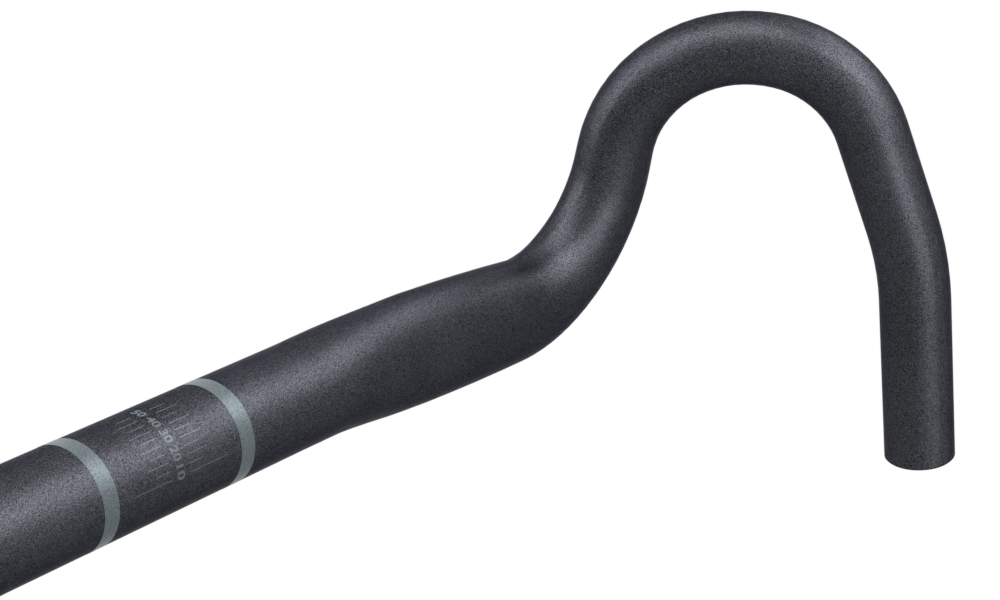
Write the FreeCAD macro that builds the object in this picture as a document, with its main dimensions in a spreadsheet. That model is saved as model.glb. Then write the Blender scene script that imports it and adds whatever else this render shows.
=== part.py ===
import FreeCAD, Part
import Sketcher
import math
import os
from FreeCAD import Placement, Rotation, Vector

# Flared drop handlebar: one bent, butted tube. X runs to the rider's right, Y forward, Z up,
# and the origin is the middle of the stem's clamp. The right half is drawn and then mirrored.

doc = FreeCAD.newDocument("flared_drop_handlebar")

# driving dimensions in millimetres and degrees
dimensions = {
    "clamp_diameter": 31.8,
    "clamp_length": 120,
    "clamp_wall": 2,
    "centre_straight": 150,
    "backsweep_radius": 200,
    "backsweep_angle": 4,
    "hood_width": 440,
    "hood_radius": 42,
    "oval_width": 37,
    "oval_height": 25,
    "oval_full": 125,
    "taper_start": 150,
    "taper_ease": 25,
    "taper_angle": 44,
    "tops_wall": 1.5,
    "ramp_slope": 13.5,
    "ramp_length": 6,
    "flare_angle": 25,
    "hook_upper_radius": 46.5,
    "hook_upper_angle": 90,
    "hook_lower_radius": 39.5,
    "hook_lower_angle": 60,
    "drop_diameter": 23.8,
    "drop_wall": 1.4,
    "drop_straight": 33,
    "drop_bend_radius": 105,
    "drop_bend_angle": 15,
    "end_length": 58,
    "edge_break": 0.4,
}
sheet = doc.addObject("Spreadsheet::Sheet", "sheet")
for row, (alias, number) in enumerate(dimensions.items(), 1):
    sheet.set(f"A{row}", alias.replace("_", " "))
    sheet.set(f"B{row}", str(number))
    sheet.setAlias(f"B{row}", alias)
doc.recompute()


def size(alias):
    return float(sheet.get(alias))


def angle(alias):
    return math.radians(size(alias))


# The centre line is a chain of runs, each a straight or a bend that leaves along one direction
# and turns towards another, square to it.
class Run:
    def __init__(self, start, along, length, towards=None, radius=0.0):
        self.start, self.along, self.length = start, along, length
        self.towards, self.radius = towards, radius

    def at(self, distance):
        if not self.radius:
            return self.start + self.along * distance, self.along
        turn = distance / self.radius
        point = self.start + self.along * (self.radius * math.sin(turn))
        point += self.towards * (self.radius * (1 - math.cos(turn)))
        return point, self.along * math.cos(turn) + self.towards * math.sin(turn)

    def inward(self, distance):
        turn = distance / self.radius
        return self.towards * math.cos(turn) - self.along * math.sin(turn)


across = Vector(1, 0, 0)
# the tops and the ramp share a plane that slopes down to the front
forward = Vector(0, math.cos(angle("ramp_slope")), -math.sin(angle("ramp_slope")))
below = Vector(0, -math.sin(angle("ramp_slope")), -math.cos(angle("ramp_slope")))
# the hook's plane leans out about the ramp
leaning = across * math.sin(angle("flare_angle")) + below * math.cos(angle("flare_angle"))

sweep = angle("backsweep_angle")
hood_turn = math.pi / 2 + sweep
tops_length = (
    size("hood_width") / 2
    - size("centre_straight") / 2
    - size("backsweep_radius") * math.sin(sweep)
    - size("hood_radius") * (1 + math.sin(sweep))
) / math.cos(sweep)

runs = []


def add_straight(along, length):
    start = runs[-1].at(runs[-1].length)[0] if runs else Vector()
    runs.append(Run(start, along, length))


def add_bend(radius, turn, towards):
    start, along = runs[-1].at(runs[-1].length)
    runs.append(Run(start, along, radius * turn, towards, radius))


swept = across * math.cos(sweep) - forward * math.sin(sweep)
add_straight(across, size("centre_straight") / 2)
add_bend(size("backsweep_radius"), sweep, -forward)
add_straight(swept, tops_length)
add_bend(size("hood_radius"), hood_turn, across * math.sin(sweep) + forward * math.cos(sweep))
add_straight(forward, size("ramp_length"))
add_bend(size("hook_upper_radius"), angle("taper_angle"), leaning)
hood_start = sum(run.length for run in runs[:3])
taper_end = sum(run.length for run in runs)


def along_line(distance):
    for run in runs[:-1]:
        if distance <= run.length:
            return run.at(distance)
        distance -= run.length
    return runs[-1].at(distance)


# Sections of the tops: round at the clamp, flattened to the oval, then drawn down to the round
# of the drop by the time the hook has begun.
def smooth(share):
    share = min(max(share, 0.0), 1.0)
    return share * share * (3 - 2 * share)


def flattened(distance):
    clamp_end = size("clamp_length") / 2
    return smooth((distance - clamp_end) / (size("oval_full") - clamp_end))


# the taper eases in over a parabola, then runs straight
def drawn_down(distance):
    past, ease = distance - size("taper_start"), size("taper_ease")
    if abs(past) < ease:
        past = (past + ease) ** 2 / (4 * ease)
    return min(max(past / (taper_end - size("taper_start")), 0.0), 1.0)


def half_size(distance, oval, power, inside):
    flat = flattened(distance)
    drawn = drawn_down(distance) ** power
    text = f"(sheet.clamp_diameter * {1 - flat:.6f} + sheet.{oval} * {flat:.6f}) / 2 * {1 - drawn:.6f}"
    text += f" + sheet.drop_diameter / 2 * {drawn:.6f}"
    if inside:
        drawn = drawn_down(distance)
        wall = f"(sheet.clamp_wall * {1 - flat:.6f} + sheet.tops_wall * {flat:.6f}) * {1 - drawn:.6f}"
        text += f" - {wall} - sheet.drop_wall * {drawn:.6f}"
    return text


def square_to(distance):
    point, along = along_line(distance)
    up = Vector(0, 0, 1)
    up = (up - along * up.dot(along)).normalize()
    return Placement(point, Rotation(up.cross(along), up, along, "ZXY"))


def oval_loft(name, places, inside, ruled):
    sections = []
    for number, distance in enumerate(places, 1):
        section = doc.addObject("Part::Ellipse", f"{name}_section_{number}")
        section.setExpression("MajorRadius", half_size(distance, "oval_width", 1, inside))
        section.setExpression("MinorRadius", half_size(distance, "oval_height", 2, inside))
        section.Placement = square_to(distance)
        sections.append(section)
    loft = doc.addObject("Part::Loft", name)
    loft.Sections = sections
    loft.Solid = True
    loft.Ruled = ruled
    return loft


# One loft a stretch, in even steps. Straight-sided rings do where the section hardly changes
# and inside, where nothing shows.
def oval_pieces(name, inside):
    clamp_end, full = size("clamp_length") / 2, size("oval_full")
    stretches = [
        ("swell", clamp_end, full, 3 if inside else 5, inside),
        ("tops", full, hood_start, 2 if inside else 4, True),
    ]
    reached = hood_start
    for part, run in zip(("hood", "ramp", "hook"), runs[3:]):
        steps = math.ceil(run.length / run.radius / math.radians(13)) if run.radius else 1
        stretches.append((part, reached, reached + run.length, steps, inside or not run.radius))
        reached += run.length
    made = []
    for part, first, last, steps, ruled in stretches:
        places = [first + (last - first) * count / steps for count in range(steps + 1)]
        made.append(oval_loft(f"{name}_{part}", places, inside, ruled))
    return made


half_outside = oval_pieces("outer", False)
half_inside = oval_pieces("bore", True)

# The rest of the hook and the drop lie in one plane: a sketch from the end of the taper to the cut.
start, along = runs[-1].at(runs[-1].length)
inward = runs[-1].inward(runs[-1].length)
drop_path = doc.addObject("Sketcher::SketchObject", "drop_path")
drop_path.Placement = Placement(start, Rotation(along, inward, along.cross(inward), "XYZ"))


def arc_in_plane(centre, radius, first, turn):
    circle = Part.Circle(Vector(centre.x, centre.y, 0), Vector(0, 0, 1), radius)
    return Part.ArcOfCircle(circle, first, first + turn)


heading = 0.0
here = Vector()
path_turns = (
    ("hook_upper_radius", angle("hook_upper_angle") - angle("taper_angle"), None),
    ("hook_lower_radius", angle("hook_lower_angle"), "drop_straight"),
    ("drop_bend_radius", angle("drop_bend_angle"), "end_length"),
)
for radius, turn, straight in path_turns:
    centre = here + Vector(-math.sin(heading), math.cos(heading), 0) * size(radius)
    drop_path.addGeometry(arc_in_plane(centre, size(radius), heading - math.pi / 2, turn))
    heading += turn
    here = centre + Vector(math.sin(heading), -math.cos(heading), 0) * size(radius)
    if straight:
        there = here + Vector(math.cos(heading), math.sin(heading), 0) * size(straight)
        drop_path.addGeometry(Part.LineSegment(here, there))
        here = there

hook_upper, hook_lower, drop_straight, drop_bend, bar_end = range(5)
drop_path.addConstraint(Sketcher.Constraint("Coincident", hook_upper, 1, -1, 1))
drop_path.addConstraint(Sketcher.Constraint("PointOnObject", hook_upper, 3, -2))
for piece in (hook_upper, hook_lower, drop_straight, drop_bend):
    drop_path.addConstraint(Sketcher.Constraint("Tangent", piece, 2, piece + 1, 1))


def bound(constraint, expression):
    number = drop_path.addConstraint(constraint)
    drop_path.setExpression(f"Constraints[{number}]", expression)


bound(Sketcher.Constraint("Radius", hook_upper, size("hook_upper_radius")), "sheet.hook_upper_radius")
bound(Sketcher.Constraint("Radius", hook_lower, size("hook_lower_radius")), "sheet.hook_lower_radius")
bound(Sketcher.Constraint("Radius", drop_bend, size("drop_bend_radius")), "sheet.drop_bend_radius")
bound(
    Sketcher.Constraint("Angle", hook_upper, path_turns[0][1]),
    "(sheet.hook_upper_angle - sheet.taper_angle) * 1 deg",
)
bound(Sketcher.Constraint("Angle", hook_lower, path_turns[1][1]), "sheet.hook_lower_angle * 1 deg")
bound(Sketcher.Constraint("Angle", drop_bend, path_turns[2][1]), "sheet.drop_bend_angle * 1 deg")
bound(Sketcher.Constraint("Distance", drop_straight, size("drop_straight")), "sheet.drop_straight")
bound(Sketcher.Constraint("Distance", bar_end, size("end_length")), "sheet.end_length")


def drop_sweep(name, radius):
    section = doc.addObject("Part::Circle", f"{name}_section")
    section.setExpression("Radius", radius)
    section.Placement = square_to(taper_end)
    swept_tube = doc.addObject("Part::Sweep", name)
    swept_tube.Sections = [section]
    swept_tube.Spine = (drop_path, [f"Edge{number}" for number in range(1, 6)])
    swept_tube.Solid = True
    swept_tube.Frenet = True
    return swept_tube


drop = drop_sweep("drop", "sheet.drop_diameter / 2")
drop_bore = drop_sweep("drop_bore", "sheet.drop_diameter / 2 - sheet.drop_wall")


def clamp_cylinder(name, radius):
    cylinder = doc.addObject("Part::Cylinder", name)
    cylinder.setExpression("Radius", radius)
    cylinder.setExpression("Height", "sheet.clamp_length")
    cylinder.Placement = Placement(across * (-size("clamp_length") / 2), Rotation(Vector(0, 0, 1), across))
    return cylinder


clamp = clamp_cylinder("clamp", "sheet.clamp_diameter / 2")
clamp_bore = clamp_cylinder("clamp_bore", "sheet.clamp_diameter / 2 - sheet.clamp_wall")


def mirrored(source):
    copy = doc.addObject("Part::Mirroring", f"{source.Name}_left")
    copy.Source = source
    copy.Normal = across
    return copy


def joined(name, pieces):
    whole = doc.addObject("Part::MultiFuse", name)
    whole.Shapes = pieces
    whole.Refine = True
    return whole


half_outside.append(drop)
half_inside.append(drop_bore)
outside = joined("outside", [clamp, *half_outside, *map(mirrored, half_outside)])
inside = joined("inside", [clamp_bore, *half_inside, *map(mirrored, half_inside)])
tube = doc.addObject("Part::Cut", "tube")
tube.Base = outside
tube.Tool = inside
doc.recompute()

# both cut ends have their outer and inner edges broken
mouth = drop_path.Placement.multVec(here)
mouths = (mouth, Vector(-mouth.x, mouth.y, mouth.z))


def is_rim(edge):
    if not isinstance(edge.Curve, Part.Circle):
        return False
    return min((edge.Curve.Center - end).Length for end in mouths) < 0.01


rims = [number for number, edge in enumerate(tube.Shape.Edges, 1) if is_rim(edge)]
handlebar = doc.addObject("Part::Chamfer", "handlebar")
handlebar.Label = "handlebar"
handlebar.Base = tube
handlebar.Edges = [(number, size("edge_break"), size("edge_break")) for number in rims]
doc.recompute()

for made in doc.Objects:
    if "Invalid" in made.State or "Error" in made.State:
        raise RuntimeError(f"{made.Label} did not build: {made.State}")
if handlebar.Shape.isNull() or not handlebar.Shape.isValid() or len(handlebar.Shape.Solids) != 1:
    raise RuntimeError("the handlebar is not one sound solid")

os.makedirs("parts", exist_ok=True)
handlebar.Shape.exportStep(f"parts/{handlebar.Label}.step")
print(f"{handlebar.Label}: {handlebar.Shape.Volume / 1000:.1f} cubic centimetres, ends at {mouth}")
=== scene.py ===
import bmesh
import bpy
import math
from mathutils import Matrix, Vector


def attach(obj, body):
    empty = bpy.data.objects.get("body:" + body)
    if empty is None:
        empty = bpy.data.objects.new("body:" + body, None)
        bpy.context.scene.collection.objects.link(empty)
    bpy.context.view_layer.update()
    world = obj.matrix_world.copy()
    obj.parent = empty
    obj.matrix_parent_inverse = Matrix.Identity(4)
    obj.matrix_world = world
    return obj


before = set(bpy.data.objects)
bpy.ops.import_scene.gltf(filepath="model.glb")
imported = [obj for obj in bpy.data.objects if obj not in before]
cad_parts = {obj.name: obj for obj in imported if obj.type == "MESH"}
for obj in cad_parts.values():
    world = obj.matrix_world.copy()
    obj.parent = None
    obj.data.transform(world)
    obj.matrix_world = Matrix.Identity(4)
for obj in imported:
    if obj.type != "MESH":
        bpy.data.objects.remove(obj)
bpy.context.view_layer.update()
scene = bpy.context.scene
mm = 0.001
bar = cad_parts["handlebar"]
print("frame loaded:", sorted(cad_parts))


# one socket of a shader tree, with Python's operators; numbers alone stay in Python
class Wire:
    def __init__(self, tree, socket=None):
        self.tree, self.socket = tree, socket

    # any node: its type, its settings, then its sockets
    def node(self, kind, settings=None, sockets=None, out=0):
        made = self.tree.nodes.new(kind)
        for name, value in (settings or {}).items():
            setattr(made, name, value)
        for name, value in (sockets or {}).items():
            if isinstance(value, Wire):
                self.tree.links.new(value.socket, made.inputs[name])
            else:
                made.inputs[name].default_value = value
        return Wire(self.tree, made.outputs[out] if made.outputs else None)

    def maths(self, operation, first, second):
        return self.node("ShaderNodeMath", {"operation": operation}, {0: first, 1: second})

    def __add__(self, other): return self.maths("ADD", self, other)
    def __radd__(self, other): return self.maths("ADD", other, self)
    def __sub__(self, other): return self.maths("SUBTRACT", self, other)
    def __rsub__(self, other): return self.maths("SUBTRACT", other, self)
    def __mul__(self, other): return self.maths("MULTIPLY", self, other)
    def __rmul__(self, other): return self.maths("MULTIPLY", other, self)
    def __truediv__(self, other): return self.maths("DIVIDE", self, other)
    def __rtruediv__(self, other): return self.maths("DIVIDE", other, self)
    def __pow__(self, other): return self.maths("POWER", self, other)
    def __rpow__(self, other): return self.maths("POWER", other, self)

    def clamped(self, low=0.0, high=1.0):
        return self.node("ShaderNodeClamp", None, {"Value": self, "Min": low, "Max": high})

    def between(self, first, second):
        return self.node("ShaderNodeMix", {"data_type": "RGBA"}, {0: self, 6: first, 7: second}, 2)


# 1 for what the camera, a reflection or a glass sees, 0 for light on the object
def lookedAt(start):
    outs = start.node("ShaderNodeLightPath").socket.node.outputs
    camera = Wire(start.tree, outs["Is Camera Ray"])
    glossy = Wire(start.tree, outs["Is Glossy Ray"])
    glass = Wire(start.tree, outs["Is Transmission Ray"])
    return (camera + glossy + glass).clamped()


def newMaterial(name):
    material = bpy.data.materials.new(name)
    material.use_nodes = True
    tree = material.node_tree
    tree.nodes.clear()
    return material, Wire(tree)


# satin black, fine blasted grain under the anodised layer
blasted = {
    "deep": (0.0115, 0.012, 0.0152, 1),
    "pale": (0.105, 0.1085, 0.126, 1),
    "sparkle": (0.235, 0.243, 0.272, 1),
    "grainPerMetre": 3600.0,
    "grainContrast": 3.8,
    "speckPerMetre": 3900.0,
    "speckFrom": 0.55,  # the brightest 45 of 100 specks glint
    "speckCover": 0.35,
    "speckRelief": 0.6,
    "driftPerMetre": 38.0,
    "driftShade": 0.4,
    "driftRoughness": 0.06,
    "roughness": 0.37,
    "roughnessSpread": 0.12,
    "bumpHeight": 0.06 * mm,
    "seamRadius": 1.3 * mm,
    "edgeTint": (0.36, 0.36, 0.38, 1),
}


def blastedBlack():
    material, start = newMaterial("blastedBlack")
    place = start.node("ShaderNodeTexCoord", None, None, 3)
    grain = start.node("ShaderNodeTexNoise", None, {
        "Vector": place, "Scale": blasted["grainPerMetre"], "Detail": 1.0, "Roughness": 0.5})
    drift = start.node("ShaderNodeTexNoise", None, {
        "Vector": place, "Scale": blasted["driftPerMetre"], "Detail": 2.0, "Roughness": 0.5})
    speck = start.node("ShaderNodeTexVoronoi", {"feature": "F1"}, {
        "Vector": place, "Scale": blasted["speckPerMetre"]}, 1)
    chance = speck.node("ShaderNodeSeparateColor", None, {"Color": speck}, 0)
    glint = ((chance - blasted["speckFrom"]) / (1 - blasted["speckFrom"])).clamped() ** 2.0
    shade = (grain - 0.5) * blasted["grainContrast"] + 0.5 + (drift - 0.5) * blasted["driftShade"]
    colour = shade.clamped().between(blasted["deep"], blasted["pale"])
    colour = (glint * blasted["speckCover"]).between(colour, blasted["sparkle"])
    rough = blasted["roughness"] + (grain - 0.5) * blasted["roughnessSpread"]
    rough = rough + (drift - 0.5) * blasted["driftRoughness"]
    # evens out the shine across the seams of the skin; less than the wall, so the bore stays out of it
    even = start.node("ShaderNodeBevel", {"samples": 4}, {"Radius": blasted["seamRadius"]})
    normal = start.node("ShaderNodeBump", None, {
        "Strength": 1.0, "Distance": blasted["bumpHeight"],
        "Height": grain + glint * blasted["speckRelief"], "Normal": even})
    surface = start.node("ShaderNodeBsdfPrincipled", None, {
        "Base Color": colour, "Roughness": rough, "Metallic": 1.0, "Normal": normal,
        "Specular Tint": blasted["edgeTint"]})
    start.node("ShaderNodeOutputMaterial", None, {"Surface": surface})
    return material


bar.data.materials.clear()
bar.data.materials.append(blastedBlack())
print("bar finished in blasted black")

# rings and scale printed on the round of the clamp
clamp = {"radius": 15.9 * mm, "proud": 0.03 * mm}


# angle in degrees from straight down, towards the front
def onClamp(x, angle):
    reach = clamp["radius"] + clamp["proud"]
    turn = math.radians(angle)
    return Vector((x, reach * math.sin(turn), -reach * math.cos(turn)))


def newPiece(name, mesh, material):
    piece = bpy.data.objects.new(name, mesh)
    bpy.context.collection.objects.link(piece)
    mesh.materials.append(material)
    for face in mesh.polygons:
        face.use_smooth = True
    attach(piece, "root")


# a patch of ink between two places along the bar and two angles round it, with a closed edge
def inkPatch(shape, fromX, toX, fromAngle, toAngle, stepsX, stepsAngle, closed=False):
    rows = []
    turns = stepsAngle if closed else stepsAngle + 1
    angles = [fromAngle + (toAngle - fromAngle) * j / stepsAngle for j in range(turns)]
    for i in range(stepsX + 1):
        x = fromX + (toX - fromX) * i / stepsX
        rows.append([shape.verts.new(onClamp(x, angle)) for angle in angles])
    for low, high in zip(rows, rows[1:]):
        for j in range(stepsAngle):
            k = (j + 1) % len(low)
            shape.faces.new((low[j], low[k], high[k], high[j]))


# the ink: cool silver grey, thin enough for the blasting to show through
ink = {
    "worn": (0.070, 0.088, 0.095, 1),
    "full": (0.145, 0.179, 0.192, 1),
    "grainPerMetre": 1900.0,
    "wornFrom": 0.30,
    "contrast": 3.5,
    "roughness": 0.36,
    "roughnessSpread": 0.1,
    "metal": 0.5,
    "bumpHeight": 0.04 * mm,
}


def silverInk():
    material, start = newMaterial("silverInk")
    place = start.node("ShaderNodeTexCoord", None, None, 3)
    grain = start.node("ShaderNodeTexNoise", None, {
        "Vector": place, "Scale": ink["grainPerMetre"], "Detail": 2.0, "Roughness": 0.6})
    cover = ((grain - ink["wornFrom"]) * ink["contrast"]).clamped()
    colour = cover.between(ink["worn"], ink["full"])
    normal = start.node("ShaderNodeBump", None, {
        "Strength": 1.0, "Distance": ink["bumpHeight"], "Height": grain})
    surface = start.node("ShaderNodeBsdfPrincipled", None, {
        "Base Color": colour, "Roughness": ink["roughness"] + (grain - 0.5) * ink["roughnessSpread"],
        "Metallic": ink["metal"], "Normal": normal})
    start.node("ShaderNodeOutputMaterial", None, {"Surface": surface})
    return material


inkMaterial = silverInk()

rings = {"inner": 24.55 * mm, "width": 5.68 * mm, "stepsAlong": 4, "stepsRound": 144}


def clampRing(name, side):
    shape = bmesh.new()
    inner, outer = rings["inner"] * side, (rings["inner"] + rings["width"]) * side
    inkPatch(shape, inner, outer, 0, 360 * side, rings["stepsAlong"], rings["stepsRound"], closed=True)
    mesh = bpy.data.meshes.new(name)
    shape.to_mesh(mesh)
    shape.free()
    newPiece(name, mesh, inkMaterial)


clampRing("ringRight", 1)
clampRing("ringLeft", -1)

# ticks about every 2.5 mm round the bar, on both sides of the numbers
scale = {
    "centre": 0.25 * mm,
    "gap": 3.75 * mm,
    "zeroLength": 15.1 * mm,
    "longLength": 8.2 * mm,
    "shortLength": 5.9 * mm,
    "tickWidth": 0.23 * mm,
    "tickSteps": 6,
    "firstAngle": 2.1,
    "stepAngle": 9.13,
    "ticks": 10,
    "numbers": ("10", "20", "30", "40", "50"),
    "numberAngle": 5.9,
    "numberStep": 20.0,
    "numberHeight": 3.0 * mm,
    "numberLength": 4.3 * mm,
    "numberBold": 0.026,
    "numberCurve": 6,
    "numberCut": 0.4 * mm,
    "numberCuts": 6,
}


def scaleTicks():
    shape = bmesh.new()
    half = math.degrees(scale["tickWidth"] / 2 / clamp["radius"])
    for count in range(scale["ticks"]):
        angle = scale["firstAngle"] + scale["stepAngle"] * count
        length = scale["longLength"] if count % 2 == 0 else scale["shortLength"]
        length = scale["zeroLength"] if count == 0 else length
        for side in (1, -1):
            near = scale["centre"] + scale["gap"] * side
            far = near + length * side
            inkPatch(shape, near, far, angle - half * side, angle + half * side, scale["tickSteps"], 1)
    mesh = bpy.data.meshes.new("scaleTicks")
    shape.to_mesh(mesh)
    shape.free()
    newPiece("scaleTicks", mesh, inkMaterial)


def scaleNumbers():
    shape = bmesh.new()
    for count, text in enumerate(scale["numbers"]):
        letters = bpy.data.curves.new("letters", "FONT")
        letters.body = text
        letters.align_x, letters.align_y = "CENTER", "CENTER"
        letters.resolution_u, letters.offset = scale["numberCurve"], scale["numberBold"]
        holder = bpy.data.objects.new("letters", letters)
        bpy.context.collection.objects.link(holder)
        bpy.context.view_layer.update()
        drawn = holder.evaluated_get(bpy.context.evaluated_depsgraph_get())
        flat = bpy.data.meshes.new_from_object(drawn)
        bpy.data.objects.remove(holder)
        part = bmesh.new()
        part.from_mesh(flat)
        bpy.data.meshes.remove(flat)
        xs = [v.co.x for v in part.verts]
        ys = [v.co.y for v in part.verts]
        wide, tall = max(xs) - min(xs), max(ys) - min(ys)
        midX, midY = (max(xs) + min(xs)) / 2, (max(ys) + min(ys)) / 2
        for v in part.verts:
            v.co.x = (v.co.x - midX) / wide * scale["numberLength"]
            v.co.y = (v.co.y - midY) / tall * scale["numberHeight"]
        # cut across so that the figures can follow the round
        for cut in range(-scale["numberCuts"], scale["numberCuts"] + 1):
            bmesh.ops.bisect_plane(
                part, geom=part.verts[:] + part.edges[:] + part.faces[:], dist=1e-7,
                plane_co=(cut * scale["numberCut"], 0, 0), plane_no=(1, 0, 0))
        middle = scale["numberAngle"] + scale["numberStep"] * count
        for v in part.verts:
            angle = middle - math.degrees(v.co.x / clamp["radius"])
            v.co = onClamp(scale["centre"] - v.co.y, angle)
        wrapped = bpy.data.meshes.new("wrapped")
        part.to_mesh(wrapped)
        part.free()
        shape.from_mesh(wrapped)
        bpy.data.meshes.remove(wrapped)
    mesh = bpy.data.meshes.new("scaleNumbers")
    shape.to_mesh(mesh)
    shape.free()
    newPiece("scaleNumbers", mesh, inkMaterial)


scaleTicks()
scaleNumbers()
print("rings and scale printed")

# pale floor well below the bar: part of its white is only for the eye and for reflections
floorPlan = {
    "height": -2.0,
    "half": 40.0,
    "pale": (0.80, 0.80, 0.80, 1),
    "shade": (0.74, 0.74, 0.75, 1),
    "cloudsPerMetre": 1.5,
    "seen": 0.29,
}


def paleFloor():
    half, height = floorPlan["half"], floorPlan["height"]
    mesh = bpy.data.meshes.new("floor")
    corners = [(x * half, y * half, height) for x, y in ((-1, -1), (1, -1), (1, 1), (-1, 1))]
    mesh.from_pydata(corners, [], [(0, 1, 2, 3)])
    floor = bpy.data.objects.new("floor", mesh)
    bpy.context.collection.objects.link(floor)
    material, start = newMaterial("paleFloor")
    place = start.node("ShaderNodeTexCoord", None, None, 3)
    cloud = start.node("ShaderNodeTexNoise", None, {
        "Vector": place, "Scale": floorPlan["cloudsPerMetre"], "Detail": 3.0})
    surface = start.node("ShaderNodeBsdfPrincipled", None, {
        "Base Color": cloud.between(floorPlan["shade"], floorPlan["pale"]), "Roughness": 0.9,
        "Emission Color": lookedAt(start).between((0, 0, 0, 1), (1, 1, 1, 1)),
        "Emission Strength": floorPlan["seen"]})
    start.node("ShaderNodeOutputMaterial", None, {"Surface": surface})
    mesh.materials.append(material)


paleFloor()

# the photograph's camera: below and in front of the bar, on its right, looking up along it
view = {
    "place": (0.51397954, 0.29443478, -0.51452165),
    "right": (-0.59678507, -0.01996208, -0.80215279),
    "up": (-0.27257737, 0.94528546, 0.17926789),
    "lens": 100.547,
    "sensor": 36.0,
}


def photoCamera():
    data = bpy.data.cameras.new("camera")
    data.sensor_fit, data.sensor_width, data.lens = "HORIZONTAL", view["sensor"], view["lens"]
    data.clip_start, data.clip_end = 0.01, 100.0
    camera = bpy.data.objects.new("camera", data)
    right, up = Vector(view["right"]).normalized(), Vector(view["up"]).normalized()
    back = right.cross(up)
    turn = Matrix((right, up, back)).transposed().to_4x4()
    camera.matrix_world = Matrix.Translation(view["place"]) @ turn
    bpy.context.collection.objects.link(camera)
    scene.camera = camera
    return camera


camera = photoCamera()

# soft boxes round the visible half, placed in the camera's own directions: right, up, towards the camera
studio = {"aim": (-0.16, 0.03, -0.03), "distance": 1.5}
boxes = {
    "sideHigh": {"from": (0.67, 0.73, -0.14), "size": 1.0, "power": 7.8},
    "sideFront": {"from": (0.71, 0.43, 0.53), "size": 1.3, "power": 16.3},
    "sideLow": {"from": (0.66, -0.34, 0.67), "size": 0.9, "power": 5.3},
    "left": {"from": (-0.87, 0.42, 0.22), "size": 1.6, "power": 14.5},
    "top": {"from": (-0.22, 0.82, 0.51), "size": 1.5, "power": 13.5},
}


def softBoxes():
    turn = camera.matrix_world.to_3x3()
    aim = Vector(studio["aim"])
    for name, box in boxes.items():
        lamp = bpy.data.lights.new(name, "AREA")
        lamp.shape, lamp.size, lamp.energy = "DISK", box["size"], box["power"]
        holder = bpy.data.objects.new(name, lamp)
        away = (turn @ Vector(box["from"])).normalized()
        holder.location = aim + away * studio["distance"]
        holder.rotation_euler = away.to_track_quat("Z", "Y").to_euler()
        holder.visible_camera = False
        bpy.context.collection.objects.link(holder)


softBoxes()

# a white backdrop opposite the camera and a dimmer room, the same to the eye and in reflections
sky = {
    "backdrop": (-0.796, 0.136, 0.589),
    "white": 1.0,
    "room": 0.46,
    "light": 0.2,  # what falls on the object
    "edge": 0.35,
    "soft": 0.45,
}


def studioSky():
    world = bpy.data.worlds.new("studio")
    scene.world = world
    world.use_nodes = True
    world.node_tree.nodes.clear()
    start = Wire(world.node_tree)
    way = start.node("ShaderNodeTexCoord")
    facing = start.node(
        "ShaderNodeVectorMath", {"operation": "DOT_PRODUCT"}, {0: way, 1: sky["backdrop"]}, 1)
    cover = ((facing - sky["edge"]) / sky["soft"]).clamped()
    seen = sky["room"] + cover * (sky["white"] - sky["room"])
    strength = sky["light"] + lookedAt(start) * (seen - sky["light"])
    glow = start.node("ShaderNodeBackground", None, {"Color": (1, 1, 1, 1), "Strength": strength})
    start.node("ShaderNodeOutputWorld", None, {"Surface": glow})


studioSky()
scene.view_settings.view_transform = "Standard"
print("camera, lamps and sky set")

bpy.context.view_layer.update()
